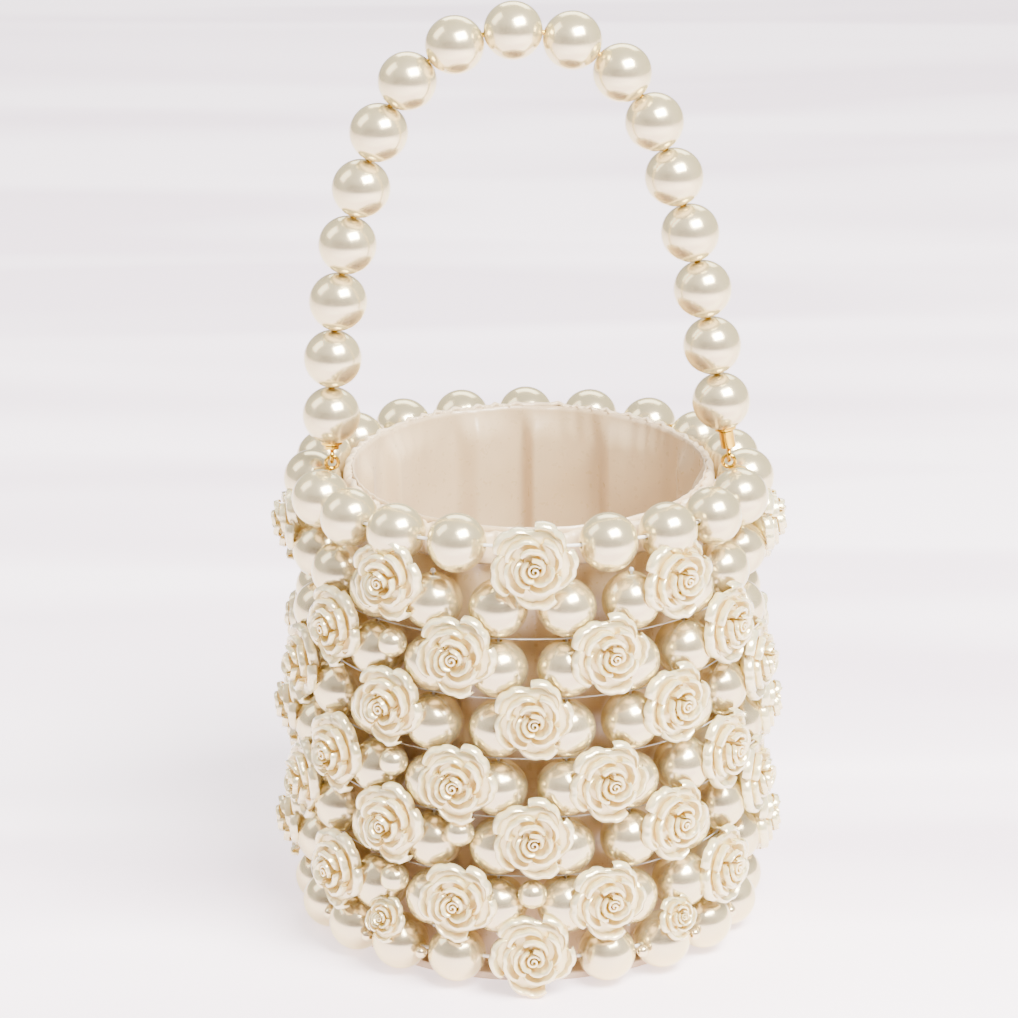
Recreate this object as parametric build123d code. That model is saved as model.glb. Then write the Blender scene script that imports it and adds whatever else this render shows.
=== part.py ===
"""Flower girl basket: a bucket of strung pearls and rose beads with a gathered
lining and a tall swinging pearl handle held by two lobster clasps.

Units are millimetres, +Z is up, and the origin is the centre of the resting face.
The handle stands parallel to the XZ plane and swings about a line along X.
Angles round the basket are measured from the front (-Y) towards +X.
"""
from build123d import *
from math import atan2, cos, degrees, radians, sin, sqrt, tau
import os

# ---------------------------------------------------------------- driving sizes
# beads
pearl_diameter = 14.0
small_pearl_diameter = 7.0
small_pearl_lift = 4.6          # above the centre of its row
seed_diameter = 3.0
rose_diameter = 20.0            # roses on the wall
ring_rose_diameter = 21.5       # the roses in the rim and in the bottom ring
small_rose_diameter = 11.5
bead_clearance = 0.2            # least gap between beads that touch in use

# how a rose bead is shaped, as shares of its radius or of its thickness
rose_thickness_share = 0.82
rose_core_share = 0.7
rose_petal_share = 0.52
rose_edge_share = 0.61
rose_petals = 5

# wall of pearls
wall_radius = 51.2              # centre line of the wall pearls
column_gap = 2.0                # least room between the pearls of a row
row_gap = 1.0                   # between the pearls of a column
rose_lifts = [6.8, 5.0, 4.7, 3.0, 4.7, 2.6]             # of the roses above the centre of each row
rose_back_depth = 2.4           # back of a rose, outside the wall's centre line

# rim and bottom ring
rim_step = 1.6                  # centre line outside that of the wall
rim_gap = 1.8                   # between row 1 and the rim
rim_rose_gap = 0.3              # along the rim, from the rose to the pearl beside it
rim_rose_drop = 2.8             # below the rim's cord
side_rose_drop = 9.1            # below the rim's cord
bottom_step = 0.3
bottom_lift = 1.0               # of the bottom pearls above the table
bottom_nesting = 0.2            # the lowest row sinks this far between the bottom pearls
bottom_rose_gap = 0.65
bottom_rose_lift = 0.45         # of the bottom rose above the table
bottom_rose_nesting = 7.55      # the roses above it come this much closer than their widths
small_rose_rise = 7.2           # above the bottom pearls
small_rose_tilt = -15

# lines and wire
cord_diameter = 0.8             # rim and bottom cords
line_diameter = 0.6             # nylon strands of the wall
knot_diameter = 1.2
string_clearance = 0.12         # of a cord that bends through a straight hole
line_clearance = 0.05           # round wires, lines and cloth
round_line_diameter = 0.3       # the rounds between the rows
handle_wire_diameter = 1.2

# base and lining
base_thickness = 2.0
base_edge_radius = 0.4
lining_floor_thickness = 0.8
lining_gap = 0.4                # between the pearls and the cloth
lining_depth = 4.0              # room that the pleats take up, radially
hem_height = 6.0                # up from the rim's cord
hem_depth = 2.2

# handle
swing_height = 7.8              # of the swing axis above the rim's cord
left_inset = 4.48               # from a clasp's hook inward to the lowest pearl of that side
right_inset = 6.08
# the wire as tangent arcs from the left end over to the right: length, turn
handle_arcs = [(72.9, 20.1), (83.1, 138.4), (48.4, 11.8)]
handle_straight = 22.8          # and then straight down to the right end
foot_length = 3.4               # from the lowest pearl on the left down to the swing axis
eye_radius = 1.4                # wire eyes under the lowest pearls
eye_wire_diameter = 1.0
crimp_diameter = 3.6
cap_diameter = 5.2
cap_thickness = 0.45

# lobster clasps
clasp_thickness = 2.6
clasp_hook_thickness = 1.7
clasp_wall = 0.85
clasp_hole_radius = 1.15
clasp_width = 5.2
clasp_eye_radius = 1.5
clasp_eye_wire_diameter = 0.9
clasp_lean = 0.68               # of a clasp's eye towards the middle of the basket
clasp_belly = 0.43              # where the body is widest, as a share of its length
lever_thickness = 0.9
lever_width = 0.75
lever_hub_wall = 0.45
lever_nub_share = 1.2           # its width, as a share of the lever's
lever_nub = (1.9, 0.5)          # reach of the thumb nub from the pin
lever_clearance = 0.1
lever_travel = 24               # degrees
slim_height = 3.0               # the body is thin this far up, between the rim pearls
pin_place = (0.9, 4.2)          # lever pin, in the clasp's own frame
gate_end_height = 0.5           # just above the hook's tip
pin_diameter = 0.8
pin_clearance = 0.04
joint_clearance = 0.3
crimp_tube_diameter = 3.4
crimp_tube_length = 1.9

# ---------------------------------------------------------------- derived places
pearl_radius = pearl_diameter / 2
row_pitch = pearl_diameter + row_gap
rows = len(rose_lifts)
# roses of neighbouring rows stand one column and about one row apart
rose_pitch = min(row_pitch + upper - lower for upper, lower in zip(rose_lifts, rose_lifts[1:]))
rose_room = sqrt(max((rose_diameter + bead_clearance) ** 2 - rose_pitch ** 2, 0))
column_room = max(pearl_diameter + column_gap, rose_room)
quarter = int(tau * wall_radius / column_room / 4)      # columns in a quarter of the wall
columns = 4 * quarter
back = columns // 2
column_arc = 360 / columns
ring_columns = range(-back + 1, back + 1)

rim_radius = wall_radius + rim_step
rim_rose_arc = degrees(((ring_rose_diameter + pearl_diameter) / 2 + rim_rose_gap) / rim_radius)
rim_arc = (90 - rim_rose_arc) / (quarter - 1)           # between two rim pearls
bottom_radius = wall_radius + bottom_step
bottom_rose_arc = degrees(((ring_rose_diameter + pearl_diameter) / 2 + bottom_rose_gap) / bottom_radius)
bottom_arc = (90 - bottom_rose_arc) / (quarter - 1)
bend = pearl_radius ** 2 / (2 * bottom_radius)          # of a cord within one pearl
string_hole_diameter = cord_diameter + 2 * (bend + string_clearance)
rose_back = wall_radius + rose_back_depth
round_radius = wall_radius + (line_diameter + round_line_diameter) / 2 + line_clearance

bottom_z = pearl_radius + bottom_lift
bottom_rose_z = ring_rose_diameter / 2 + bottom_rose_lift
rose_step = (ring_rose_diameter + rose_diameter) / 2 - bottom_rose_nesting
last_row_z = max(bottom_z + pearl_diameter - bottom_nesting, bottom_rose_z + rose_step - rose_lifts[-1])
row_1_z = last_row_z + row_pitch * (rows - 1)           # centre height of the uppermost wall row
rim_z = row_1_z + pearl_diameter + rim_gap
side_rose_z = rim_z - side_rose_drop
small_rose_z = bottom_z + small_rose_rise

base_reach = sqrt(max((pearl_radius + bead_clearance) ** 2 - (bottom_z - base_thickness) ** 2, 0))
base_radius = bottom_radius - base_reach                # the bottom pearls hang over its edge
lining_outer = wall_radius - pearl_radius - lining_gap
lining_inner = lining_outer - lining_depth
hem_outer_radius = rim_radius - pearl_radius - lining_gap

clasp_gap = 90 - rim_arc / 2                            # the clasps hook on just ahead of the sides
hook_x = rim_radius * sin(radians(clasp_gap))
handle_y = clasp_lean - rim_radius * cos(radians(clasp_gap))
handle_start_x = left_inset - hook_x
handle_span = 2 * hook_x - left_inset - right_inset     # between its two lowest pearls
pivot_z = rim_z + swing_height
handle_end_z = pivot_z + foot_length + pearl_radius


def row_z(row):
    """Centre height of a wall row, counted from 1 at the top."""
    return row_1_z - row_pitch * (row - 1)


def ring_angle(k, rose_arc, pitch_arc):
    """Angle of place k of a ring of pearls with one rose, at k = 0 in front."""
    side = -1 if k < 0 else 1
    steps = abs(k)
    if steps == 0:
        turn = 0
    elif steps <= quarter:
        turn = rose_arc + pitch_arc * (steps - 1)
    else:
        turn = 90 + column_arc * (steps - quarter)
    return side * turn


def rim_angle(k):
    return ring_angle(k, rim_rose_arc, rim_arc)


def bottom_angle(k):
    return ring_angle(k, bottom_rose_arc, bottom_arc)


def column_angle(k):
    """Angle of the wall pearls to the right of joint k."""
    return column_arc * (k + 0.5)


def joint_angle(k):
    """Angle of the joint between two columns of pearls, where the roses sit."""
    return column_arc * k


def spot(angle, radius, z):
    """Point at an angle round the basket."""
    return Vector(radius * sin(radians(angle)), -radius * cos(radians(angle)), z)


def outward(angle, radius, z, tilt=0):
    """Location whose local Z points away from the axis and local Y points up."""
    return Location(spot(angle, radius, z)) * Rot(0, 0, angle) * Rot(90 + tilt, 0, 0)


def save(name, shapes):
    """Write one node: a group of separate solids, or one."""
    shapes = list(shapes)
    solids = [s for shape in shapes for s in shape.solids()]
    group = solids[0] if len(solids) == 1 else Compound(children=solids)
    export_step(group, f"parts/{name}.step")


# ---------------------------------------------------------------- beads
def pearl(diameter, hole_diameter):
    """A round bead drilled along its own X axis."""
    drill = Rot(0, 90, 0) * Cylinder(hole_diameter / 2, diameter * 1.2)
    return Sphere(diameter / 2) - drill


rose_shapes = {}


def rose(diameter, neighbours):
    """A rose bead as a scalloped dome, facing local +Z.

    neighbours are the pearls behind it, as local centres; their shape is cut
    out of its back, so that it sits snugly on them.
    """
    key = (diameter, tuple(sorted(tuple(round(v, 2) for v in n) for n in neighbours)))
    if key in rose_shapes:
        return rose_shapes[key]
    r = diameter / 2
    thickness = r * rose_thickness_share
    petal = r * rose_petal_share
    outline = Circle(r * rose_core_share)
    for i in range(rose_petals):
        outline += Rot(0, 0, 90 + 360 / rose_petals * i) * Pos(r - petal, 0) * Circle(petal)
    edge_height = thickness * rose_edge_share
    dome_radius = (r ** 2 + (thickness - edge_height) ** 2) / (2 * (thickness - edge_height))
    body = extrude(outline, amount=thickness) & Pos(0, 0, thickness - dome_radius) * Sphere(dome_radius)
    for centre in neighbours:
        body -= Pos(*centre) * Sphere(pearl_radius + bead_clearance)
    rose_shapes[key] = body.solids().sort_by(SortBy.VOLUME)[-1]
    return rose_shapes[key]


def local_to(location, points):
    """The points as seen from a location."""
    back = location.inverse()
    return [tuple((back * Location(p)).position) for p in points]


# ---------------------------------------------------------------- the wall
plain_pearl = pearl(pearl_diameter, string_hole_diameter)
upright_pearl = Rot(0, 90, 0) * pearl(pearl_diameter, string_hole_diameter)


def wall_centres(row):
    return [spot(column_angle(k), wall_radius, row_z(row)) for k in ring_columns]


def has_rose(k, row):
    """Roses sit on every second joint, staggered from row to row.

    The rim rose and the side roses take the room of those next to them.
    """
    under_rim_rose = row == 1 and k == 0
    place = wall_rose_location(k, row).position
    crowded = any((place - side.position).length < rose_diameter + bead_clearance for side in side_rose_places)
    return (k + row) % 2 == 1 and not under_rim_rose and not crowded


def wall_rose_location(k, row):
    return outward(joint_angle(k), rose_back, row_z(row) + rose_lifts[row - 1])


side_rose_places = [outward(joint_angle(k), rose_back, side_rose_z) for k in (-quarter, quarter)]


def near(location, points, reach):
    return [p for p in points if (p - location.position).length < reach]


all_wall = [c for row in range(1, rows + 1) for c in wall_centres(row)]
rim_centres = {k: spot(rim_angle(k), rim_radius, rim_z) for k in ring_columns if k}
bottom_centres = {k: spot(bottom_angle(k), bottom_radius, bottom_z) for k in ring_columns if k}
all_pearls = all_wall + list(rim_centres.values()) + list(bottom_centres.values())


def seated_rose(diameter, location):
    """A rose cut to sit on the pearls near its place, and put there."""
    reach = pearl_radius + diameter
    return location * rose(diameter, local_to(location, near(location, all_pearls, reach)))


def make_wall():
    for row in range(1, rows + 1):
        save(f"wall_pearls_row_{row}", [Pos(c) * upright_pearl for c in wall_centres(row)])
        places = [wall_rose_location(k, row) for k in ring_columns if has_rose(k, row)]
        save(f"wall_roses_row_{row}", [seated_rose(rose_diameter, p) for p in places])


# joints without a rose that carry a small pearl, as (place, row)
front_joints = [(-2, 2), (-2, 4), (-2, 6), (-1, 5), (0, 6)]
small_pearl_joints = front_joints + [(back + k, row) for k, row in front_joints]


def make_small_beads():
    bead = pearl(small_pearl_diameter, line_diameter + 0.4)
    lateral = wall_radius * sin(radians(column_arc / 2))
    depth = wall_radius * cos(radians(column_arc / 2))
    reach = pearl_radius + small_pearl_diameter / 2 + bead_clearance
    seated = depth + sqrt(max(reach ** 2 - lateral ** 2 - small_pearl_lift ** 2, 0))
    on_line = round_radius + (round_line_diameter + small_pearl_diameter) / 2 + line_clearance
    radius = max(seated, on_line)
    heights = [(joint_angle(k), row_z(row) + small_pearl_lift) for k, row in small_pearl_joints]
    save("small_pearls", [outward(angle, radius, z) * bead for angle, z in heights])
    seed_reach = pearl_radius + seed_diameter / 2 + bead_clearance
    seed_lateral = bottom_radius * sin(radians(bottom_arc / 2))
    seat = sqrt(max(seed_reach ** 2 - seed_lateral ** 2, 0))
    on_cord = bottom_radius + (cord_diameter + seed_diameter) / 2 + line_clearance
    seed_radius = max(bottom_radius * cos(radians(bottom_arc / 2)) + seat, on_cord)
    gaps = [k for k in ring_columns if k not in (0, -1, back)]
    seed = pearl(seed_diameter, line_diameter + 0.2)
    angles = [(bottom_angle(k) + bottom_angle(k + 1)) / 2 for k in gaps]
    save("seed_beads", [outward(a, seed_radius, bottom_z) * seed for a in angles])


# ---------------------------------------------------------------- rim and bottom ring
def make_rings():
    rim_pearls = [Pos(c) * Rot(0, 0, rim_angle(k)) * plain_pearl for k, c in rim_centres.items()]
    save("rim_pearls", rim_pearls)
    save("rim_cord", [Pos(0, 0, rim_z) * Torus(rim_radius, cord_diameter / 2)])
    rim_back = rim_radius + cord_diameter / 2 + bead_clearance
    save("rim_rose", [seated_rose(ring_rose_diameter, outward(0, rim_back, rim_z - rim_rose_drop))])
    save("side_roses", [seated_rose(rose_diameter, p) for p in side_rose_places])

    bottom = [Pos(c) * Rot(0, 0, bottom_angle(k)) * plain_pearl for k, c in bottom_centres.items()]
    save("bottom_pearls", bottom)
    save("bottom_cord", [Pos(0, 0, bottom_z) * Torus(bottom_radius, cord_diameter / 2)])
    bottom_back = bottom_radius + cord_diameter / 2 + bead_clearance
    save("bottom_rose", [seated_rose(ring_rose_diameter, outward(0, bottom_back, bottom_rose_z))])
    small = [-2, 2, back - 2, 2 - back]
    small_back = bottom_radius + pearl_radius / 2
    small_places = [outward(bottom_angle(k), small_back, small_rose_z, small_rose_tilt) for k in small]
    save("small_roses", [seated_rose(small_rose_diameter, p) for p in small_places])


# ---------------------------------------------------------------- nylon lines
def make_lines():
    """Upright strands through the wall pearls, and rounds between the rows."""
    line = line_diameter / 2
    knot = knot_diameter / 2
    low = row_z(rows) - pearl_radius - knot
    high = row_1_z + pearl_radius + knot
    strand = Pos(0, 0, (low + high) / 2) * Cylinder(line, high - low)
    strand += Pos(0, 0, low) * Sphere(knot)
    strand += Pos(0, 0, high) * Sphere(knot)
    save("wall_strands", [Pos(spot(column_angle(k), wall_radius, 0)) * strand for k in ring_columns])
    levels = [row_z(row) - row_pitch / 2 for row in range(1, rows)]
    save("wall_rounds", [Pos(0, 0, z) * Torus(round_radius, round_line_diameter / 2) for z in levels])


# ---------------------------------------------------------------- base and lining
def make_lining():
    disc = Cylinder(base_radius, base_thickness)
    disc = fillet(disc.edges().filter_by(GeomType.CIRCLE), base_edge_radius)
    save("base_disc", [Pos(0, 0, base_thickness / 2) * disc])
    save("lining_floor", [Pos(0, 0, base_thickness + lining_floor_thickness / 2)
                          * Cylinder(lining_inner - line_clearance, lining_floor_thickness)])
    height = rim_z - base_thickness
    wall = Cylinder(lining_outer, height) - Cylinder(lining_inner, height)
    save("lining_wall", [Pos(0, 0, base_thickness + height / 2) * wall])
    hem = Cylinder(hem_outer_radius, hem_height) - Cylinder(hem_outer_radius - hem_depth, hem_height)
    save("lining_hem", [Pos(0, 0, rim_z + hem_height / 2) * hem])


# ---------------------------------------------------------------- handle
def direction(heading):
    return Vector(cos(radians(heading)), 0, sin(radians(heading)))


def arc_point(centre, radius, heading):
    """Point of a clockwise arc where the wire has this heading."""
    return centre + Vector(-sin(radians(heading)), 0, cos(radians(heading))) * radius


def handle_layout(grow=1.0):
    """Each arc as (length, radius, centre, first heading), and the last point and heading."""
    place = Vector(handle_start_x, 0, handle_end_z)
    heading = 90.0
    layout = []
    for drawn_length, turn in handle_arcs:
        length = drawn_length * grow
        radius = length / radians(turn)
        centre = place + Vector(sin(radians(heading)), 0, -cos(radians(heading))) * radius
        layout.append((length, radius, centre, heading))
        heading -= turn
        place = arc_point(centre, radius, heading)
    return layout, place, heading


_, drawn_start, drawn_heading = handle_layout()
drawn_end = drawn_start + direction(drawn_heading) * handle_straight
handle_grow = handle_span / (drawn_end.X - handle_start_x)      # the arch spans from clasp to clasp
handle_layout_arcs, straight_start, straight_heading = handle_layout(handle_grow)
handle_length = (sum(length for length, _ in handle_arcs) + handle_straight) * handle_grow
handle_steps = int((handle_length + bead_clearance) / (pearl_diameter + bead_clearance))


def along_handle(distance):
    """Point and heading at a distance along the wire from the left end pearl."""
    for length, radius, centre, heading in handle_layout_arcs:
        if distance <= length:
            now = heading - degrees(distance / radius)
            return arc_point(centre, radius, now), now
        distance -= length
    return straight_start + direction(straight_heading) * distance, straight_heading


eye_centre_z = pivot_z + eye_radius - eye_wire_diameter / 2 - joint_clearance - clasp_eye_wire_diameter / 2
eye_top = eye_centre_z + eye_radius
end_point, end_heading = along_handle(handle_length)
right_foot_x = end_point.X + (end_point.Z - eye_top) / -direction(end_heading).Z * direction(end_heading).X
feet = {"left": (handle_start_x, 90.0), "right": (right_foot_x, end_heading)}


def handle_tube(diameter):
    """A tube along the handle wire, from eye to eye."""
    left_foot = Vector(handle_start_x, 0, eye_top)
    edges = [Edge.make_line(left_foot, Vector(handle_start_x, 0, handle_end_z))]
    for length, radius, centre, heading in handle_layout_arcs:
        shares = (0, 0.5, 1)
        marks = [arc_point(centre, radius, heading - degrees(share * length / radius)) for share in shares]
        edges.append(Edge.make_three_point_arc(*marks))
    edges.append(Edge.make_line(straight_start, Vector(right_foot_x, 0, eye_top)))
    section = Plane(left_foot, z_dir=(0, 0, 1)) * Circle(diameter / 2)
    return sweep(section, path=Wire(edges))


def foot_frame(side):
    """Location at the lowest pearl of a side, with local Z pointing down the wire."""
    if side == "left":
        return Location((handle_start_x, 0, handle_end_z)) * Rot(180, 0, 0)
    return Location(end_point) * Rot(0, 180 - (90 + end_heading), 0)


def make_handle():
    forward = Pos(0, handle_y, 0)
    wire = handle_tube(handle_wire_diameter)
    for foot_x, _ in feet.values():
        wire += Pos(foot_x, 0, eye_centre_z) * Rot(0, 90, 0) * Torus(eye_radius, eye_wire_diameter / 2)
    save("handle_wire", [forward * wire])
    bore = handle_tube(handle_wire_diameter + 2 * line_clearance)
    beads = []
    for i in range(handle_steps + 1):
        centre, _ = along_handle(handle_length * i / handle_steps)
        beads.append(forward * (Pos(centre) * Sphere(pearl_radius) - bore))
    save("handle_pearls", beads)

    inner = pearl_radius + line_clearance
    outer = inner + cap_thickness
    shell = Sphere(outer) - Sphere(inner)
    cup = shell & Pos(0, 0, outer / 2) * Cylinder(cap_diameter / 2, outer)
    hole = Cylinder(handle_wire_diameter / 2 + line_clearance, 4 * outer)
    save("bead_caps", [forward * foot_frame(side) * (cup - hole) for side in feet])
    crimps = []
    for side in feet:
        end = foot_frame(side)
        to_eye = (end.position - Vector(feet[side][0], 0, eye_top)).length
        length = to_eye - outer - eye_wire_diameter / 2 - 3 * line_clearance
        tube = Cylinder(crimp_diameter / 2, length) - hole
        crimps.append(forward * end * Pos(0, 0, outer + line_clearance + length / 2) * tube)
    save("end_crimps", crimps)


# ---------------------------------------------------------------- clasps
def clasp_frame(side):
    """Where a clasp is drawn: local Y runs from the hook on the rim cord to its eye.

    Local X points inward, over the basket, and local Z runs along the rim cord.
    """
    eye = Vector(feet[side][0], handle_y, pivot_z - clasp_eye_radius)
    hook = spot(-clasp_gap if side == "left" else clasp_gap, rim_radius, rim_z)
    along = (eye - hook).normalized()
    # the cord lies in the hook's bend
    hook += along * (clasp_hole_radius - cord_diameter / 2 - line_clearance)
    across = along.cross(Vector(0, 0, 1)).normalized()
    plane = Plane(origin=hook, x_dir=along.cross(across), z_dir=across)
    return plane.location, (eye - hook).length


def clasp_body(length):
    """The body of a clasp with its hook, lever slot and eye, in its own frame."""
    hole = clasp_hole_radius
    outer = hole + clasp_wall
    half = clasp_width / 2
    neck = clasp_eye_wire_diameter * 0.75
    shoulder = length - clasp_eye_radius
    belly = length * clasp_belly
    side_in = Spline((-outer, 0), (-half, belly), (-neck, shoulder), tangents=[(0, 1), (0.35, 1)])
    side_out = Spline((neck, shoulder), (half, belly), (outer, hole), tangents=[(0.35, -1), (-0.35, -1)])
    top = Line((-neck, shoulder), (neck, shoulder))
    profile = make_face([side_in, top, side_out, Line((outer, hole), (outer, 0)), Line((outer, 0), (-outer, 0))])
    body = extrude(profile, amount=clasp_thickness / 2, both=True)
    hook = Cylinder(outer, clasp_hook_thickness)
    body = body + hook
    # the rim pearls stand close beside the hook, so the body is thin there
    slim = Box(4 * outer, 2 * slim_height, clasp_thickness * 2)
    slim -= Box(4 * outer, 2 * slim_height, clasp_hook_thickness)
    body -= slim
    body -= Cylinder(hole, clasp_thickness * 2)
    body -= Pos(0, hole * 0.75) * Box(2 * hole, hole * 1.5, clasp_thickness * 2)
    body -= Pos(outer, hole * 0.95) * Box(outer * 2, hole * 1.9, clasp_thickness * 2)
    eye = Pos(0, length) * Torus(clasp_eye_radius, clasp_eye_wire_diameter / 2)
    return body + eye


def arm(start, end, width):
    """A flat strip with round ends from one point to another."""
    line = Line(start, end)
    turn = degrees(atan2(end[1] - start[1], end[0] - start[0]))
    return Location(line.position_at(0.5)) * Rot(0, 0, turn) * SlotCenterToCenter(line.length, width)


def lever_outline(grow):
    """The lever's outline, larger all round by grow: a gate, a round pivot and a thumb nub."""
    hole = clasp_hole_radius
    gate_end = (hole + clasp_wall * 0.5, gate_end_height)
    px, py = pin_place
    width = lever_width + 2 * grow
    hub = Pos(px, py) * Circle(pin_diameter / 2 + lever_hub_wall + grow)
    gate = arm((px, py), gate_end, width)
    nub = arm((px, py), (px + lever_nub[0], py + lever_nub[1]), width * lever_nub_share)
    return hub + gate + nub


def make_clasps():
    for side in feet:
        place, length = clasp_frame(side)
        px, py = pin_place
        body = clasp_body(length)
        pocket = extrude(lever_outline(lever_clearance), amount=lever_thickness / 2 + lever_clearance, both=True)
        swept = [Pos(px, py) * Rot(0, 0, -a) * Pos(-px, -py) * pocket for a in range(0, lever_travel + 1, 6)]
        for cut in swept:
            body -= cut
        body -= Pos(px, py) * Cylinder(pin_diameter / 2, clasp_thickness * 2)
        body = body.solids().sort_by(SortBy.VOLUME)[-1]
        save(f"clasp_{side}", [place * body])
        lever = extrude(lever_outline(0), amount=lever_thickness / 2, both=True)
        lever -= Pos(px, py) * Cylinder(pin_diameter / 2 + pin_clearance, clasp_thickness * 2)
        save(f"clasp_lever_{side}", [place * lever])
        save(f"clasp_pin_{side}", [place * Pos(px, py) * Cylinder(pin_diameter / 2, clasp_thickness)])
    gap = crimp_tube_length / 2
    tube = Rot(0, 90, 0) * (Cylinder(crimp_tube_diameter / 2, 2 * gap)
                            - Cylinder(cord_diameter / 2 + line_clearance, 4 * gap))
    places = [(rim_angle(k) + rim_angle(k + 1)) / 2 for k in (-quarter - 2, quarter + 2)]
    save("cord_crimps", [Pos(spot(a, rim_radius, rim_z)) * Rot(0, 0, a) * tube for a in places])


if __name__ == "__main__":
    os.makedirs("parts", exist_ok=True)
    make_wall()
    make_small_beads()
    make_rings()
    make_lines()
    make_lining()
    make_handle()
    make_clasps()
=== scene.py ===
"""Flower girl basket: the visual model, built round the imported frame.

Every length is in metres where no comment says otherwise. Angles round the
satin are measured from the front (-Y) towards +X.
"""
import random
from math import atan2, cos, pi, radians, sin, tau

import bmesh
import bpy
import numpy as np
from mathutils import Matrix, Vector, noise


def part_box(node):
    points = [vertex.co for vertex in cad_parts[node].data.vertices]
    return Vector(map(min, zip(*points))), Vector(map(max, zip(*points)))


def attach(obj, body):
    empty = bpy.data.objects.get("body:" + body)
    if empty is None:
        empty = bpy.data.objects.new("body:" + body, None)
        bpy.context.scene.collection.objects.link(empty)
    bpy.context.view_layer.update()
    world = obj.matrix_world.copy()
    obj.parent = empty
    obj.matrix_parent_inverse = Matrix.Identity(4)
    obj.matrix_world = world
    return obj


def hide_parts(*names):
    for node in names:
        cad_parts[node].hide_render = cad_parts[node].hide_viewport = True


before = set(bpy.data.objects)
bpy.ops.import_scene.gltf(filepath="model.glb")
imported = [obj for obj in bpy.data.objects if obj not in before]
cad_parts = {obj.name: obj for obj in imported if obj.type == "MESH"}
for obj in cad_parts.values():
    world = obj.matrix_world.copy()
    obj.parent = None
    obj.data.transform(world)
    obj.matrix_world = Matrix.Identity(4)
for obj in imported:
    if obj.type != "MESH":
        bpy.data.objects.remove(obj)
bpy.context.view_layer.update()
MM = 0.001


# ------------------------------------------------------------------ small helpers
def new_object(name, verts, faces):
    mesh = bpy.data.meshes.new(name)
    mesh.from_pydata([tuple(v) for v in verts], [], faces)
    mesh.validate()
    mesh.polygons.foreach_set("use_smooth", [True] * len(mesh.polygons))
    piece = bpy.data.objects.new(name, mesh)
    bpy.context.scene.collection.objects.link(piece)
    return piece


def stand_for(piece, look, body, slot, *nodes):
    """Give a new piece its material and its body, and hide the CAD nodes that it stands for; its finish, slot,
    is not used.
    """
    piece.data.materials.clear()
    piece.data.materials.append(look)
    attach(piece, body)
    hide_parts(*nodes)
    return piece


def islands(name):
    """The separate solids of a CAD node, as arrays of points."""
    bm = bmesh.new()
    bm.from_mesh(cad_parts[name].data)
    bmesh.ops.remove_doubles(bm, verts=bm.verts, dist=1e-6)
    bm.verts.ensure_lookup_table()
    seen = [False] * len(bm.verts)
    found = []
    for start in bm.verts:
        if seen[start.index]:
            continue
        seen[start.index] = True
        stack = [start]
        points = []
        while stack:
            v = stack.pop()
            points.append(tuple(v.co))
            for e in v.link_edges:
                w = e.other_vert(v)
                if not seen[w.index]:
                    seen[w.index] = True
                    stack.append(w)
        found.append(np.array(points))
    bm.free()
    return found


def ball(points):
    """Centre and radius of a round bead from its points."""
    low, high = points.min(axis=0), points.max(axis=0)
    centre = (low + high) / 2
    radius = np.sqrt(((points - centre) ** 2).sum(axis=1)).max()
    return Vector(centre), float(radius)


def turned(z_axis, centre):
    """Matrix that puts local +Z along z_axis at centre."""
    turn = Vector(z_axis).normalized().to_track_quat("Z", "Y").to_matrix().to_4x4()
    return Matrix.Translation(centre) @ turn


def aimed(position, target):
    """Rotation of a camera or lamp at position that faces target."""
    return (target - position).to_track_quat("-Z", "Y").to_euler()


def quads(rows, columns, base=0, rows_close=False, columns_close=False, flipped=False):
    """Faces of a grid of points that is kept row by row, from base on."""
    faces = []
    for j in range(rows if rows_close else rows - 1):
        this_row, next_row = base + j * columns, base + (j + 1) % rows * columns
        for i in range(columns if columns_close else columns - 1):
            k = (i + 1) % columns
            if flipped:
                faces.append((this_row + i, next_row + i, next_row + k, this_row + k))
            else:
                faces.append((this_row + i, this_row + k, next_row + k, next_row + i))
    return faces


def repeated(name, shape, matrices):
    """One piece made of copies of a shape (points and faces) at the matrices."""
    points, faces = shape
    points = np.array(points)
    all_points, all_faces = [], []
    for matrix in matrices:
        m = np.array(matrix)
        base = len(all_points) * len(points)
        all_points.append(points @ m[:3, :3].T + m[:3, 3])
        all_faces += [[base + i for i in face] for face in faces]
    return new_object(name, np.concatenate(all_points), all_faces)


def smooth(t):
    """From 0 to 1 without a corner at either end."""
    return t * t * (3 - 2 * t)


def noise_round(angle, spread, level):
    """Noise that closes on itself round the basket; more spread makes it busier."""
    return noise.noise(Vector((cos(angle) * spread, sin(angle) * spread, level)))


# ------------------------------------------------------------------ materials
def material(name):
    mat = bpy.data.materials.new(name)
    mat.use_nodes = True
    tree = mat.node_tree
    shader = next(n for n in tree.nodes if n.type == "BSDF_PRINCIPLED")
    return mat, tree, shader


def node(tree, kind, **values):
    """A new node; a value goes to the input of that name, or else to the setting."""
    made = tree.nodes.new(kind)
    for key, value in values.items():
        if key in made.inputs:
            made.inputs[key].default_value = value
        else:
            setattr(made, key, value)
    return made


def set_inputs(made, values):
    for key, value in values.items():
        made.inputs[key].default_value = value


def where(tree):
    return tree.nodes.new("ShaderNodeTexCoord").outputs["Object"]


def fine_noise(tree, scale, detail=3.0):
    made = node(tree, "ShaderNodeTexNoise", Scale=scale, Detail=detail, Roughness=0.5)
    tree.links.new(where(tree), made.inputs["Vector"])
    return made.outputs["Fac"]


def ramp(tree, source, stops):
    made = tree.nodes.new("ShaderNodeValToRGB")
    tree.links.new(source, made.inputs["Fac"])
    elements = made.color_ramp.elements
    while len(elements) < len(stops):
        elements.new(0.5)
    for element, (place, colour) in zip(elements, stops):
        element.position = place
        element.color = (*colour, 1.0)
    return made.outputs["Color"]


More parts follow.
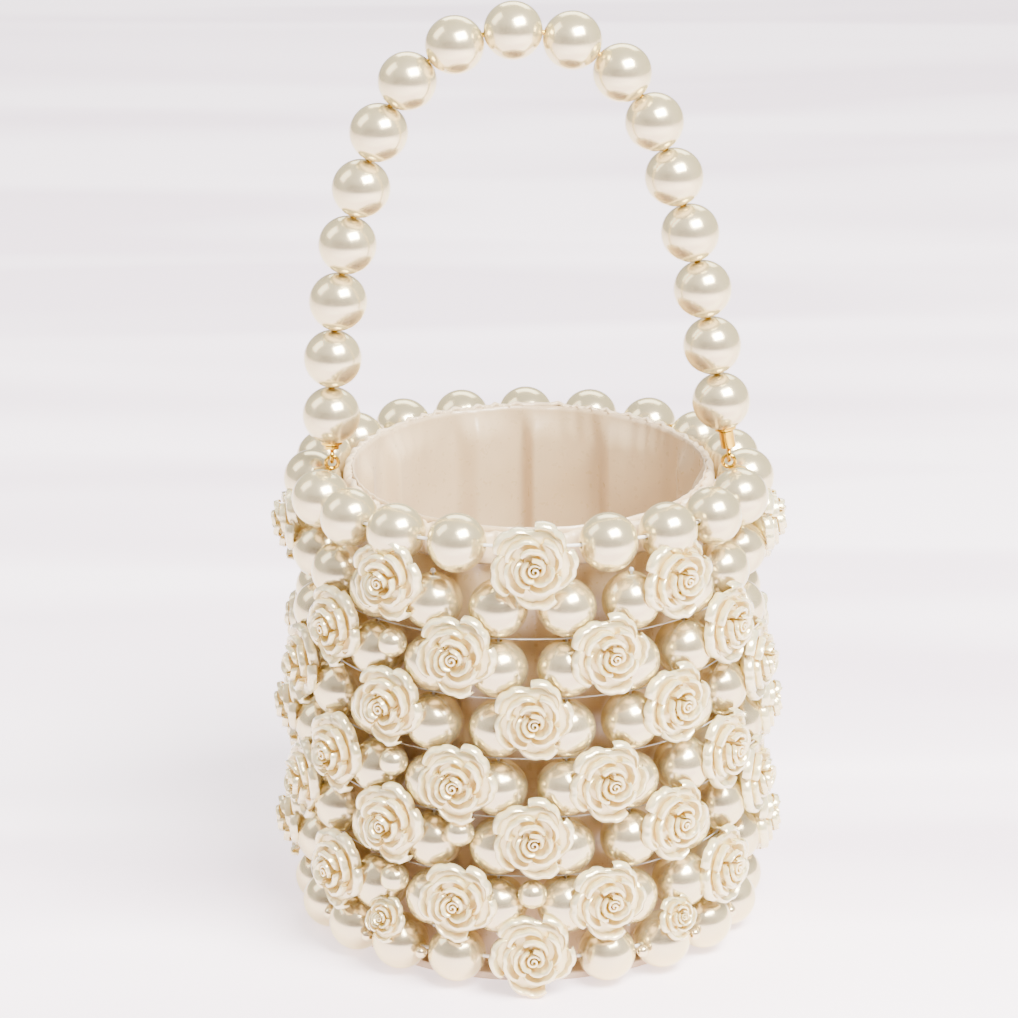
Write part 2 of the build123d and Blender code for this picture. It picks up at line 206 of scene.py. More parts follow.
def grey(value):
    return (value, value, value)


def mottle(tree, socket, scale, detail, low, high, ends=(0.3, 0.7)):
    """Let an input wander between two colours, following a fine noise."""
    shade = ramp(tree, fine_noise(tree, scale, detail), list(zip(ends, (low, high))))
    tree.links.new(shade, socket)


def mottle_roughness(tree, shader, scale, roughness):
    """Roughness that wanders a little round a value."""
    mottle(tree, shader.inputs["Roughness"], scale, 4.0, grey(roughness * 0.85), grey(roughness * 1.2))


def bump(tree, shader, height, strength, distance):
    made = node(tree, "ShaderNodeBump", Strength=strength, Distance=distance)
    tree.links.new(height, made.inputs["Height"])
    tree.links.new(made.outputs["Normal"], shader.inputs["Normal"])
    return made


def mixed(tree, factor, first, second, blend="MIX"):
    """Mix of two colours; each value may be a plain one or a socket."""
    made = tree.nodes.new("ShaderNodeMix")
    made.data_type = "RGBA"
    made.blend_type = blend
    by_name = {s.identifier: s for s in made.inputs}
    sockets = (by_name["Factor_Float"], by_name["A_Color"], by_name["B_Color"])
    for socket, value in zip(sockets, (factor, first, second)):
        if isinstance(value, bpy.types.NodeSocket):
            tree.links.new(value, socket)
        elif isinstance(value, tuple):
            socket.default_value = (*value, 1.0)
        else:
            socket.default_value = value
    return next(s for s in made.outputs if s.identifier == "Result_Color")


def cloud_over(tree, shader, colour, scale, dark):
    """Base colour, slightly darker in soft clouds."""
    cloud = ramp(tree, fine_noise(tree, scale), [(0.3, grey(dark)), (0.7, grey(1.0))])
    tree.links.new(mixed(tree, 1.0, colour, cloud, "MULTIPLY"), shader.inputs["Base Color"])


def pearl_material(name, face, edge, roughness=0.2):
    """Ivory nacre with a clear glossy skin; its colour turns warmer towards the edge, a painted glow of light
    shining through and between the beads.
    """
    mat, tree, shader = material(name)
    # painted glow: the colour moves from the face colour to the warmer edge colour as the surface turns away
    # from the view
    facing = node(tree, "ShaderNodeLayerWeight", Blend=0.35)
    body = mixed(tree, facing.outputs["Facing"], face, edge)
    cloud_over(tree, shader, body, 90.0, 0.96)
    mottle_roughness(tree, shader, 400.0, roughness)
    set_inputs(shader, {"Metallic": 0.78, "IOR": 1.62, "Coat Weight": 0.35,
                        "Coat Roughness": 0.05, "Sheen Weight": 0.05})
    bump(tree, shader, fine_noise(tree, 700.0), 0.05, 0.00004)
    return mat


def rose_material():
    """Moulded ivory beads: milky and glossy, with painted shade that makes the hollows darker and warmer."""
    mat, tree, shader = material("ivory_rose")
    # painted shade: an ambient occlusion mask darkens and yellows the colour in the hollows between petals
    recess_shade = node(tree, "ShaderNodeAmbientOcclusion", Distance=0.0022)
    recess_shade.samples = 6
    colour = ramp(tree, recess_shade.outputs["AO"], [
        (0.15, (0.84, 0.62, 0.20)),
        (0.55, (0.88, 0.72, 0.33)),
        (0.95, (0.89, 0.77, 0.46)),
    ])
    cloud_over(tree, shader, colour, 160.0, 0.95)
    mottle(tree, shader.inputs["Roughness"], 500.0, 4.0, grey(0.17), grey(0.26))
    set_inputs(shader, {"Metallic": 0.42, "IOR": 1.6, "Subsurface Weight": 0.4,
                        "Subsurface Radius": (1.0, 0.75, 0.45), "Subsurface Scale": 0.0015,
                        "Coat Weight": 0.8, "Coat Roughness": 0.06})
    bump(tree, shader, fine_noise(tree, 900.0), 0.08, 0.00005)
    return mat


def gold_material():
    mat, tree, shader = material("gold_plating")
    mottle(tree, shader.inputs["Base Color"], 300.0, 4.0, (0.62, 0.36, 0.03), (0.84, 0.54, 0.07))
    mottle(tree, shader.inputs["Roughness"], 900.0, 5.0, grey(0.12), grey(0.26), (0.3, 0.75))
    shader.inputs["Metallic"].default_value = 1.0
    bump(tree, shader, fine_noise(tree, 1500.0), 0.1, 0.00004)
    return mat


def weave(tree, thread):
    """Height of a fine cross weave; the pattern repeats about every six thread sizes."""
    heights = []
    for direction in ("X", "Z"):
        band = node(tree, "ShaderNodeTexWave", Scale=0.05 / thread, Distortion=0.4)
        band.bands_direction = direction
        tree.links.new(where(tree), band.inputs["Vector"])
        heights.append(band.outputs["Fac"])
    both = node(tree, "ShaderNodeMath", operation="MAXIMUM")
    for height, socket in zip(heights, both.inputs):
        tree.links.new(height, socket)
    return both.outputs[0]


def satin_material(name, dark, light, roughness=0.3):
    """Satin: a fine weave over soft upright creases."""
    mat, tree, shader = material(name)
    mottle(tree, shader.inputs["Base Color"], 28.0, 3.0, dark, light, (0.25, 0.75))
    mottle_roughness(tree, shader, 600.0, roughness)
    set_inputs(shader, {"Specular IOR Level": 0.7, "Anisotropic": 0.4,
                        "Sheen Weight": 0.2, "Sheen Roughness": 0.35})
    threads = bump(tree, shader, weave(tree, 0.00018), 0.12, 0.00003)
    upright = node(tree, "ShaderNodeMapping", Scale=(75.0, 75.0, 9.0))
    tree.links.new(where(tree), upright.inputs["Vector"])
    creases = node(tree, "ShaderNodeTexNoise", Scale=1.0, Detail=2.0, Roughness=0.4)
    tree.links.new(upright.outputs["Vector"], creases.inputs["Vector"])
    soft = node(tree, "ShaderNodeBump", Strength=0.6, Distance=0.0022)
    tree.links.new(creases.outputs["Fac"], soft.inputs["Height"])
    tree.links.new(soft.outputs["Normal"], threads.inputs["Normal"])
    return mat


def board_material():
    mat, tree, shader = material("base_cloth")
    mottle(tree, shader.inputs["Base Color"], 220.0, 5.0, (0.62, 0.48, 0.34), (0.74, 0.61, 0.46))
    mottle(tree, shader.inputs["Roughness"], 900.0, 3.0, grey(0.7), grey(0.85))
    bump(tree, shader, weave(tree, 0.0004), 0.3, 0.00008)
    return mat


def line_material(name, colour, clear):
    mat, tree, shader = material(name)
    darker = tuple(c * 0.93 for c in colour)
    mottle(tree, shader.inputs["Base Color"], 400.0, 2.0, darker, colour)
    set_inputs(shader, {"Roughness": 0.25, "Transmission Weight": clear})
    bump(tree, shader, fine_noise(tree, 1200.0, 2.0), 0.1, 0.00003)
    return mat


# the second colour of each pearl is its painted edge glow, standing for light through and between the beads
PEARL = pearl_material("ivory_pearl", (0.76, 0.65, 0.41), (0.88, 0.74, 0.27))
SEED = pearl_material("ivory_seed", (0.84, 0.70, 0.44), (0.90, 0.74, 0.32), 0.14)
ROSE = rose_material()
GOLD = gold_material()
SATIN = satin_material("champagne_satin", (0.52, 0.36, 0.19), (0.74, 0.56, 0.34))
HEM = satin_material("cream_satin", (0.68, 0.50, 0.29), (0.80, 0.63, 0.40), 0.36)
BOARD = board_material()
NYLON = line_material("nylon", (0.93, 0.91, 0.87), 0.5)
CORD = line_material("beading_cord", (0.90, 0.85, 0.76), 0.0)

# ------------------------------------------------------------------ beads
PEARL_HOLE = 0.8 * MM           # radius of the mouth of a drilled hole
SMALL_HOLE = 0.45 * MM          # the same in the small pearls and the seed beads
HOLE_LIP = 0.25 * MM            # rounding of the mouth
HOLE_END = 0.55                 # how near the middle a hole is drawn, as a share of the radius
BEAD_SIDES, BEAD_RINGS = 40, 26
ORDER_DROP = 0.01               # the point that orders the handle's beads lies this far below them


def bead_shape(radius, hole):
    """A drilled round bead about local Z, as a lathed outline: hole, lip, ball, lip, hole."""
    lip = min(HOLE_LIP, hole * 0.5)
    edge = atan2(hole + lip, radius)
    mouth = radius * cos(edge)
    outline = [(hole, radius * HOLE_END), (hole, mouth - lip), (hole + lip * 0.3, mouth - lip * 0.25)]
    for i in range(BEAD_RINGS + 1):
        angle = edge + (pi - 2 * edge) * i / BEAD_RINGS
        outline.append((radius * sin(angle), radius * cos(angle)))
    outline += [(r, -z) for r, z in reversed(outline[:3])]
    turns = [tau * s / BEAD_SIDES for s in range(BEAD_SIDES)]
    points = [(r * cos(turn), r * sin(turn), z) for r, z in outline for turn in turns]
    return points, quads(len(outline), BEAD_SIDES, rows_close=True, columns_close=True, flipped=True)


def ring_beads(name, hole, upright, look, slot):
    """Beads of a ring, drilled upright or along the ring."""
    matrices = []
    for points in islands(name):
        centre, radius = ball(points)
        axis = Vector((0, 0, 1)) if upright else Vector((-centre.y, centre.x, 0))
        matrices.append(turned(axis, centre))
    piece = repeated(name + "_look", bead_shape(radius, hole), matrices)
    return stand_for(piece, look, "basket", slot, name)


def handle_beads():
    """The handle's pearls, each drilled along the wire."""
    balls = [ball(points) for points in islands("handle_pearls")]
    below = min(c.z for c, _ in balls) - ORDER_DROP
    balls.sort(key=lambda b: atan2(b[0].z - below, b[0].x))
    centres = [c for c, _ in balls]
    matrices = []
    for i, centre in enumerate(centres):
        before, after = centres[max(i - 1, 0)], centres[min(i + 1, len(centres) - 1)]
        matrices.append(turned(after - before, centre))
    piece = repeated("handle_pearls_look", bead_shape(balls[0][1], PEARL_HOLE), matrices)
    return stand_for(piece, PEARL, "handle", "pearl", "handle_pearls")


# ------------------------------------------------------------------ roses
# Lengths in this section are shares of the rose's radius.
# Rings of petals, outermost first: petals, first angle, half width in degrees,
# root radius, rim radius, root height, crest height, lip drop
PETAL_RINGS = [
    (5, 54, 42, 0.48, 1.00, 0.22, 0.56, 0.20),
    (4, 28, 54, 0.34, 0.68, 0.28, 0.72, 0.16),
    (3, 75, 66, 0.20, 0.45, 0.36, 0.84, 0.12),
    (2, 20, 85, 0.09, 0.26, 0.44, 0.90, 0.07),
]
PETAL_ACROSS, PETAL_OUT = 15, 12    # steps of a petal's grid
PETAL_THICKNESS = 0.042
PETAL_ROUNDING = 0.45           # of its edge, as a share of the thickness
WHIMS = random.Random(7)        # what differs from petal to petal:
STRAY = 6                       # degrees that a petal stands aside, at most
LONGER = (-0.05, 0.03)          # change of its reach
NOTCH_ASIDE = 0.25              # how far from its middle the notch lies, at most
TALLER = 0.03                   # change of its height, at most
SPIRAL = (0.10, 0.18)           # how far one side lies outside the neighbour
NOTCH_DEPTH, NOTCH_HALF_WIDTH = 0.05, 0.22
SIDE_CUT, SIDE_CUT_POWER = 0.16, 2.4        # how much less far the sides reach
OUT_POWER = 0.9
CREST = 0.86                    # how far out along a petal its crest lies
RISE_POWER = 2.6
ROLL_POWER = 1.6                # of the rim that rolls over beyond the crest
ROLL_BACK = 0.02
SIDE_LIFT = 0.07                # one side ends higher than the other
SIDE_DROP = 0.12                # and both lower than the middle
NARROW_RIM = 0.80               # width at the rim, as a share of the width at the root

# the spiral at the heart
CORE_TURNS, CORE_START = 1.6, 0.6
CORE_STEPS, CORE_LEVELS = 34, 4
CORE_RADIUS, CORE_HOLE, CORE_POWER = 0.125, 0.018, 0.8
CORE_FLARE = 0.20
CORE_X, CORE_Y = 0.02, -0.01
CORE_FOOT, CORE_HEIGHT, CORE_CLIMB = 0.5, 0.36, 0.05

# the base behind the petals: radius and height of its outline, from the back to the front
BASE_OUTLINE = [(0.0, 0.06), (0.42, 0.10), (0.66, 0.22), (0.86, 0.40), (0.80, 0.46),
                (0.60, 0.44), (0.40, 0.46), (0.2, 0.5), (0.0, 0.52)]
BASE_SIDES = 40
LOBES, LOBE_DEPTH, FIRST_LOBE = 5, 0.05, 54     # one under each outer petal

# how the CAD rose solids are drawn, and how the roses on one ring differ
SOLID_HALF_WIDTH = 0.976
SOLID_THICKNESS = 0.82
ROSE_ROLL = 14                  # degrees either way
ROSE_GROWTH = (0.985, 1.02)


def petal(ring, index):
    """Grid of points of one petal: cupped, with a rolled rim, one side over its neighbour."""
    count, first, half, root, rim, low, crest, drop = ring
    middle = radians(first + 360 * index / count + WHIMS.uniform(-STRAY, STRAY))
    longer = WHIMS.uniform(*LONGER)
    sideways = WHIMS.uniform(-NOTCH_ASIDE, NOTCH_ASIDE)
    top = crest + WHIMS.uniform(-TALLER, TALLER)
    spiral = WHIMS.uniform(*SPIRAL)
    rows = []
    for j in range(PETAL_OUT + 1):
        v = j / PETAL_OUT
        row = []
        for i in range(PETAL_ACROSS + 1):
            u = 2 * i / PETAL_ACROSS - 1
            notch = NOTCH_DEPTH * max(0.0, 1 - abs(u - sideways) / NOTCH_HALF_WIDTH)
            reach = rim * (1 + longer - SIDE_CUT * abs(u) ** SIDE_CUT_POWER - notch)
            out = root + (reach - root) * v ** OUT_POWER + spiral * rim * u * v
            if v < CREST:
                height = low + (top - low) * (v / CREST) ** RISE_POWER
            else:
                roll = (v - CREST) / (1 - CREST)
                height = top - drop * roll ** ROLL_POWER
                out -= ROLL_BACK * rim * roll ** 2
            height += SIDE_LIFT * u * v - SIDE_DROP * crest * abs(u) ** 3 * v
            angle = middle + radians(half) * u * (NARROW_RIM + (1 - NARROW_RIM) * (1 - v))
            out = min(out, 1.0)
            row.append((out * cos(angle), out * sin(angle), height))
        rows.append(row)
    return rows


def core_sheet():
    """The tight spiral at the heart of a rose: a strip wound inwards."""
    rows = []
    for level in range(CORE_LEVELS + 1):
        h = level / CORE_LEVELS
        row = []
        for s in range(CORE_STEPS + 1):
            t = s / CORE_STEPS
            angle = tau * CORE_TURNS * t + CORE_START
            radius = (CORE_RADIUS * (1 - t) ** CORE_POWER + CORE_HOLE) * (1 + CORE_FLARE * h * h)
            height = CORE_FOOT + (CORE_HEIGHT + CORE_CLIMB * t) * h
            row.append((radius * cos(angle) + CORE_X, radius * sin(angle) + CORE_Y, height))
        rows.append(row)
    return rows


def thick_shells(grids):
    """Points and faces of thin sheets made thick, with rounded edges."""
    points, faces = [], []
    for grid in grids:
        faces += quads(len(grid), len(grid[0]), len(points))
        points += [p for row in grid for p in row]
    shell = new_object("rose_mould", points, faces)
    solid = shell.modifiers.new("thickness", "SOLIDIFY")
    solid.thickness = PETAL_THICKNESS
    solid.offset = -1.0
    solid.use_even_offset = False
    round_off = shell.modifiers.new("rounding", "BEVEL")
    round_off.width = PETAL_THICKNESS * PETAL_ROUNDING
    round_off.segments = 2
    round_off.limit_method = "ANGLE"
    round_off.angle_limit = radians(60)
    made = shell.evaluated_get(bpy.context.evaluated_depsgraph_get()).to_mesh()
    points = [tuple(v.co) for v in made.vertices]
    faces = [tuple(p.vertices) for p in made.polygons]
    bpy.data.objects.remove(shell)
    return points, faces


def rose_shape():
    """One rose of radius 1 about local Z, facing +Z: a base and its petals, as thick shells."""
    petals = [petal(ring, index) for ring in PETAL_RINGS for index in range(ring[0])]
    points, faces = thick_shells(petals + [core_sheet()])
    start = len(points)
    walls = BASE_OUTLINE[1:-1]
    for r, z in walls:
        for s in range(BASE_SIDES):
            angle = tau * s / BASE_SIDES
            radius = r * (1 + LOBE_DEPTH * cos(LOBES * (angle - radians(FIRST_LOBE))))
            points.append((radius * cos(angle), radius * sin(angle), z))
    faces += quads(len(walls), BASE_SIDES, start, columns_close=True)
    for level, end, step in ((0, 0, -1), (len(walls) - 1, -1, 1)):
        hub = len(points)
        points.append((0.0, 0.0, BASE_OUTLINE[end][1]))
        first = start + level * BASE_SIDES
        for s in range(BASE_SIDES):
            pair = (first + s, first + (s + 1) % BASE_SIDES)
            faces.append((hub, *pair[::step]))
    return points, faces


def rose_place(points, tilt):
    """Centre of the back of a CAD rose, its radius, and its outward, up and sideways directions."""
    mean = points.mean(axis=0)
    outward = Vector((mean[0], mean[1], 0)).normalized()
    across = Vector((0, 0, 1)).cross(outward)
    turn = Matrix.Rotation(radians(tilt), 3, across)
    outward = turn @ outward
    up = turn @ Vector((0, 0, 1))
    side = points @ np.array(across)
    rise = points @ np.array(up)
    depth = points @ np.array(outward)
    radius = (side.max() - side.min()) / 2 / SOLID_HALF_WIDTH
    middle_side = (side.max() + side.min()) / 2
    back = across * middle_side + up * (rise.max() - radius)
    back += outward * (depth.max() - SOLID_THICKNESS * radius)
    return back, radius, outward, up, across


def roses(name, shape, seed, tilt=0.0):
    """Roses in the places of a CAD node's, each rolled and sized a little differently."""
    chance = random.Random(seed)
    matrices = []
    for points in islands(name):
        back, radius, outward, up, across = rose_place(points, tilt)
        turn = Matrix((across, up, outward)).transposed().to_4x4()
        roll = Matrix.Rotation(radians(chance.uniform(-ROSE_ROLL, ROSE_ROLL)), 4, "Z")
        size = Matrix.Scale(radius * chance.uniform(*ROSE_GROWTH), 4)
        matrices.append(Matrix.Translation(back) @ turn @ roll @ size)
    piece = repeated(name + "_look", shape, matrices)
    return stand_for(piece, ROSE, "basket", "rose_bead", name)


# ------------------------------------------------------------------ lining
CLOTH = 0.35 * MM               # thickness of the satin
PLEATS = 13                     # broad folds round the lining
PLEAT_WIDTHS = (0.6, 1.5)       # narrowest and widest, before they are fitted round
PLEAT_DEPTH = 3.3 * MM
PLEAT_FOOT, PLEAT_GROWTH = 0.7, 0.3     # share of the depth at the floor, and what the way up adds
PLEAT_STEP = 0.24               # share of a fold's width that turns back under the next
PLEAT_POWER = 1.2
PLEAT_DRIFT = 0.05              # radians that a fold strays on its way up
PUCKER = 0.45 * MM
GATHERS = 46                    # small folds under the hem
GATHER_DEPTH = 0.45 * MM
GATHER_FROM, GATHER_HEIGHT = 0.93, 0.07     # shares of the lining's height
GATHER_POWER = 0.7
RIM_GATHER = 0.25               # share of the gathers' depth that is left at the top edge
FRONT_SAG = 5.5 * MM            # the top edge hangs lower in front
SAG_FROM = 0.3                  # share of the height up to which nothing sags
FLOOR_GAP = 0.2 * MM            # between the floor's edge and the room inside the lining
FLOOR_RIPPLE = 0.25 * MM

lining_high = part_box("lining_wall")[1]
hem_low, hem_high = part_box("lining_hem")
floor_low, floor_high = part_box("lining_floor")
LINING_OUTER = lining_high.x - CLOTH - 0.4 * MM
LINING_RIM = hem_high.x - 2.5 * MM
LINING_TOP = hem_high.z - 0.8 * MM
LINING_BOTTOM = floor_high.z - 0.3 * MM


def pleat_edges():
    """Angles where the broad folds start, unevenly spaced."""
    chance = random.Random(7)
    widths = [chance.uniform(*PLEAT_WIDTHS) for _ in range(PLEATS)]
    total = sum(widths)
    edges, at = [], 0.0
    for width in widths:
        edges.append(at)
        at += tau * width / total
    return edges + [tau]


PLEAT_EDGES = pleat_edges()


def pleat(angle, height):
    """From 0 (out) to 1 (in): where the satin stands at an angle, at a share of the height."""
    angle = (angle + PLEAT_DRIFT * noise_round(angle, 1.3, height * 1.1)) % tau
    for first, last in zip(PLEAT_EDGES, PLEAT_EDGES[1:]):
        if angle < last:
            break
    s = (angle - first) / (last - first)
    if s < PLEAT_STEP:
        return 1 - smooth(s / PLEAT_STEP)
    return ((s - PLEAT_STEP) / (1 - PLEAT_STEP)) ** PLEAT_POWER


def front_sag(angle):
    """How far the top edge of the satin hangs down towards the front."""
    return FRONT_SAG * (0.5 + 0.5 * cos(angle))


def lining_point(angle, z):
    """Point of the lining at an angle and at a height before it sags."""
    share = (z - floor_high.z) / (LINING_TOP - floor_high.z)
    depth = PLEAT_DEPTH * (PLEAT_FOOT + PLEAT_GROWTH * share)
    radius = LINING_OUTER - depth * pleat(angle, share)
    radius += PUCKER * noise_round(angle, 5, z * 45)
    near_top = max(0.0, (share - GATHER_FROM) / GATHER_HEIGHT)
    fold = GATHER_DEPTH * sin(GATHERS * angle + 3 * sin(5 * angle) + 2 * sin(11 * angle))
    radius += fold * near_top ** GATHER_POWER
    blend_in = smooth(near_top)
    radius = radius * (1 - blend_in) + (LINING_RIM + RIM_GATHER * fold) * blend_in
    return radius * sin(angle), -radius * cos(angle), z - front_sag(angle) * max(0.0, share - SAG_FROM)


def give_thickness(piece):
    solid = piece.modifiers.new("cloth", "SOLIDIFY")
    solid.thickness = CLOTH
    solid.offset = 0.0


def make_lining():
    """The pleated wall of satin, with the length round its middle and its height."""
    around, levels = 720, 90
    tall = LINING_TOP - LINING_BOTTOM
    heights = [LINING_BOTTOM + tall * (j / levels) for j in range(levels + 1)]
    turns = [tau * i / around for i in range(around)]
    points = [lining_point(turn, z) for z in heights for turn in turns]
    piece = new_object("satin_lining", points, quads(levels + 1, around, columns_close=True))
    give_thickness(piece)
    halfway = (LINING_BOTTOM + LINING_TOP) / 2
    middle = [Vector(lining_point(turn, halfway)) for turn in turns]
    width = sum((a - b).length for a, b in zip(middle, middle[1:] + middle[:1]))
    stand_for(piece, SATIN, "basket", "satin", "lining_wall")
    return piece, width, tall


def make_lining_floor():
    """The disc of satin on the base, slightly rippled."""
    sides, rings = 120, 26
    z = (floor_low.z + floor_high.z) / 2
    radius = floor_high.x - FLOOR_GAP
    points = [(0, 0, z)]
    for j in range(1, rings + 1):
        r = radius * j / rings
        for s in range(sides):
            angle = tau * s / sides
            ripple = FLOOR_RIPPLE * noise_round(angle, r * 60, 4.0)
            points.append((r * cos(angle), r * sin(angle), z + ripple))
    faces = [(0, 1 + s, 1 + (s + 1) % sides) for s in range(sides)]
    faces += quads(rings, sides, 1, columns_close=True, flipped=True)
    piece = new_object("satin_floor", points, faces)
    give_thickness(piece)
    stand_for(piece, SATIN, "basket", "satin", "lining_floor")
    return piece


# ------------------------------------------------------------------ hem
HEM_POINTS = 960                # round the basket
HEM_DROP = 2.2 * MM             # how far the band reaches below the CAD hem
HEM_SETTLE = 0.2 * MM           # how far the whole band lies lower
HEM_INSET = 1.35 * MM           # from the CAD hem's outside to the middle of the band
HEM_HALF_WIDTH = 1.0 * MM
FRILL_WAVES = 96                # ruffles
FRILL_DEPTH = 0.42 * MM
FRILL_FOOT, FRILL_GROWTH = 0.35, 0.65   # share of that depth at the foot, and what the way up adds
FRILL_LIFT = 0.3 * MM           # up and down along the ruffles
SLOW_DEPTH, SLOW_LIFT = 0.25 * MM, 0.4 * MM     # the slower waves, in and out and up and down
# the folded band's section: distance from its middle and height, as shares
HEM_OUTLINE = [(0.1, 0.0), (0.6, 0.10), (0.9, 0.35), (0.9, 0.62), (0.7, 0.86), (0.1, 0.99),
               (-0.6, 1.0), (-1.0, 0.93), (-0.7, 0.86), (-0.1, 0.80), (-0.05, 0.4), (-0.05, 0.1)]


def make_hem():
    """The ruched top edge: a rounded band, folded over and gathered all round."""
    foot = hem_low.z - HEM_DROP
    tall = hem_high.z - foot
    points = []
    for i in range(HEM_POINTS):
        angle = tau * i / HEM_POINTS
        slow = noise_round(angle, 4, 2.0)
        phase = FRILL_WAVES * angle + 4 * sin(7 * angle) + 3 * sin(13 * angle + 1)
        lift = FRILL_LIFT * sin(phase * 0.5 + 1.0) + SLOW_LIFT * slow
        settle = front_sag(angle) + HEM_SETTLE
        for r, h in HEM_OUTLINE:
            radius = hem_high.x - HEM_INSET + HEM_HALF_WIDTH * r
            radius += FRILL_DEPTH * sin(phase) * (FRILL_FOOT + FRILL_GROWTH * h) + SLOW_DEPTH * slow
            points.append((radius * sin(angle), -radius * cos(angle), foot + (tall + lift) * h - settle))
    faces = quads(HEM_POINTS, len(HEM_OUTLINE), rows_close=True, columns_close=True, flipped=True)
    piece = new_object("satin_hem", points, faces)
    return stand_for(piece, HEM, "basket", "hem", "lining_hem")


# ------------------------------------------------------------------ kept CAD nodes
def dress_nodes():
    gold = ["handle_wire", "bead_caps", "end_crimps", "cord_crimps"]
    gold += [f"{part}_{side}" for part in ("clasp", "clasp_lever", "clasp_pin") for side in ("left", "right")]
    looks = {name: GOLD for name in gold}
    looks.update(rim_cord=CORD, bottom_cord=CORD, wall_strands=NYLON, wall_rounds=NYLON, base_disc=BOARD)
    for name, look in looks.items():
        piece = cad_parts[name]
        piece.data.materials.clear()
        piece.data.materials.append(look)


# ------------------------------------------------------------------ studio
CAMERA_TURN = radians(-1.0)     # from straight before the front roses
CAMERA_RISE = radians(17.44)
CAMERA_DISTANCE = 1.0596
LENS, SENSOR = 154.06, 36.0     # millimetres
LOOK_AT = Vector((0, 0, 0.120))
AIM_LEFT, AIM_DOWN = 0.00486, 0.01483   # how far beside and below it the camera is aimed
LAMP_AIM = Vector((0, 0, 0.1))
TABLE_RADIUS = 2.2
TABLE_GLOW = (1.0, 0.88, 0.94, 1.0)
PLAIN_PINK = (1.0, 0.88, 0.95, 1.0)     # what the camera sees round the basket
# name, position, size, watts, colour
SOFTBOXES = [
    ("key", (0.42, -0.62, 0.98), (0.72, 0.50), 78.0, (1.0, 0.98, 0.95)),
    ("fill", (-0.85, 0.05, 0.85), (0.5, 0.7), 5.0, (1.0, 0.97, 0.94)),
    ("back", (0.1, 0.9, 0.9), (1.0, 0.5), 9.0, (1.0, 1.0, 1.0)),
]


def make_camera():
    flat = CAMERA_DISTANCE * cos(CAMERA_RISE)
    rise = CAMERA_DISTANCE * sin(CAMERA_RISE)
    position = LOOK_AT + Vector((flat * sin(CAMERA_TURN), -flat * cos(CAMERA_TURN), rise))
    view = (LOOK_AT - position).normalized()
    right = view.cross(Vector((0, 0, 1))).normalized()
    up = right.cross(view)
    camera = bpy.data.objects.new("camera", bpy.data.cameras.new("camera"))
    camera.data.lens = LENS
    camera.data.sensor_width = SENSOR
    camera.data.clip_start = 0.01
    camera.location = position
    camera.rotation_euler = aimed(position, LOOK_AT - right * AIM_LEFT - up * AIM_DOWN)
    bpy.context.scene.collection.objects.link(camera)
    bpy.context.scene.camera = camera


def softbox(name, position, size, power, colour):
    light = bpy.data.lights.new(name, "AREA")
    light.shape = "RECTANGLE"
    light.size, light.size_y = size
    light.energy = power
    light.color = colour
    lamp = bpy.data.objects.new(name, light)
    lamp.location = position
    lamp.rotation_euler = aimed(Vector(position), LAMP_AIM)
    bpy.context.scene.collection.objects.link(lamp)


def make_table():
    """A pale cloth-covered table, with faint drawn-out folds painted on its colour as long streaks of shade."""
    bpy.ops.mesh.primitive_circle_add(vertices=96, radius=TABLE_RADIUS, fill_type="NGON")
    ground = bpy.context.object
    ground.name = "pale_floor"
    mat, tree, shader = material("pale_floor")
    drawn_out = node(tree, "ShaderNodeMapping", Scale=(1.2, 7.0, 1.0), Rotation=(0.0, 0.0, radians(-16)))
    tree.links.new(where(tree), drawn_out.inputs["Vector"])
    folds = node(tree, "ShaderNodeTexNoise", Scale=1.6, Detail=1.5, Roughness=0.4, Distortion=0.6)
    tree.links.new(drawn_out.outputs["Vector"], folds.inputs["Vector"])
    # painted shade: the colour darkens in long streaks where folds in the cloth would be shaded
    painted_fold_shade = ramp(tree, folds.outputs["Fac"], [(0.36, (0.72, 0.60, 0.68)), (0.56, (0.97, 0.88, 0.94))])
    tree.links.new(painted_fold_shade, shader.inputs["Base Color"])
    set_inputs(shader, {"Roughness": 0.9, "Specular IOR Level": 0.2,
                        "Emission Color": TABLE_GLOW, "Emission Strength": 1.5})
    ground.data.materials.append(mat)


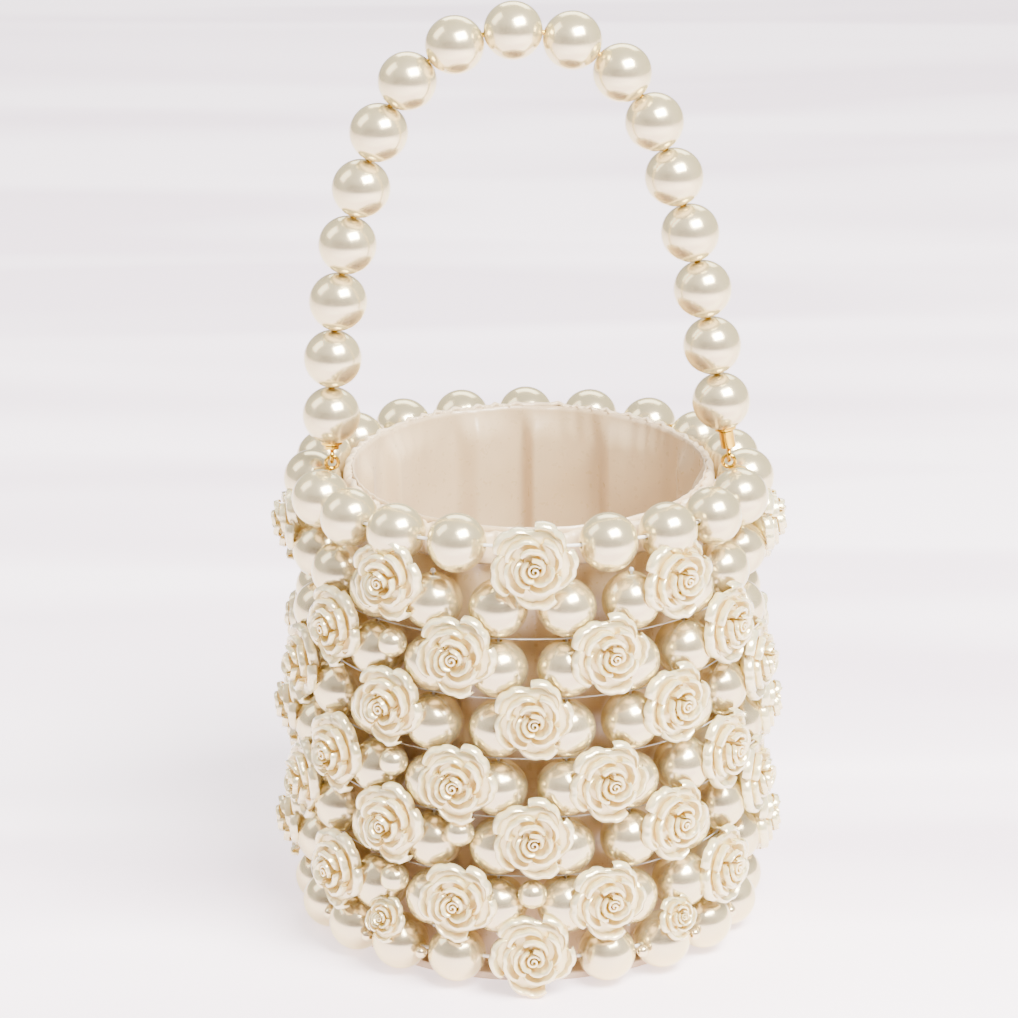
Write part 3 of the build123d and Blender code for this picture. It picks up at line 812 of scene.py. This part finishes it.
def make_room():
    """A room that is bright above and darker behind the camera; the camera sees plain pale pink."""
    world = bpy.data.worlds.new("studio")
    bpy.context.scene.world = world
    world.use_nodes = True
    tree = world.node_tree
    room = next(n for n in tree.nodes if n.type == "BACKGROUND")
    room.inputs["Strength"].default_value = 0.95
    place = tree.nodes.new("ShaderNodeTexCoord")
    split = tree.nodes.new("ShaderNodeSeparateXYZ")
    tree.links.new(place.outputs["Generated"], split.inputs[0])
    upward = ramp(tree, split.outputs["Z"], [
        (0.0, (0.11, 0.085, 0.06)),
        (0.34, (0.17, 0.14, 0.11)),
        (0.62, (0.95, 0.92, 0.90)),
    ])
    behind = node(tree, "ShaderNodeMapRange")
    set_inputs(behind, {"From Min": -0.80, "From Max": -0.25})
    tree.links.new(split.outputs["Y"], behind.inputs["Value"])
    around = mixed(tree, behind.outputs["Result"], upward, (1.0, 0.955, 0.965))
    tree.links.new(around, room.inputs["Color"])
    plain = node(tree, "ShaderNodeBackground", Color=PLAIN_PINK, Strength=3.2)
    ray = tree.nodes.new("ShaderNodeLightPath")
    choose = tree.nodes.new("ShaderNodeMixShader")
    for source, socket in zip((ray.outputs["Is Camera Ray"], room.outputs[0], plain.outputs[0]), choose.inputs):
        tree.links.new(source, socket)
    output = next(n for n in tree.nodes if n.type == "OUTPUT_WORLD")
    tree.links.new(choose.outputs[0], output.inputs["Surface"])


# ------------------------------------------------------------------ the basket
make_camera()
make_table()
for box in SOFTBOXES:
    softbox(*box)
make_room()
dress_nodes()

for row in range(1, 7):
    ring_beads(f"wall_pearls_row_{row}", PEARL_HOLE, True, PEARL, "pearl")
for name in ("rim_pearls", "bottom_pearls"):
    ring_beads(name, PEARL_HOLE, False, PEARL, "pearl")
ring_beads("small_pearls", SMALL_HOLE, False, PEARL, "pearl")
ring_beads("seed_beads", SMALL_HOLE, False, SEED, "seed_bead")
handle_beads()

mould = rose_shape()
for row in range(1, 7):
    roses(f"wall_roses_row_{row}", mould, 10 + row)
for number, name in enumerate(("rim_rose", "side_roses", "bottom_rose")):
    roses(name, mould, 30 + number)
roses("small_roses", mould, 40, tilt=-15.0)

lining, lining_width, lining_height = make_lining()
hem = make_hem()
make_lining_floor()
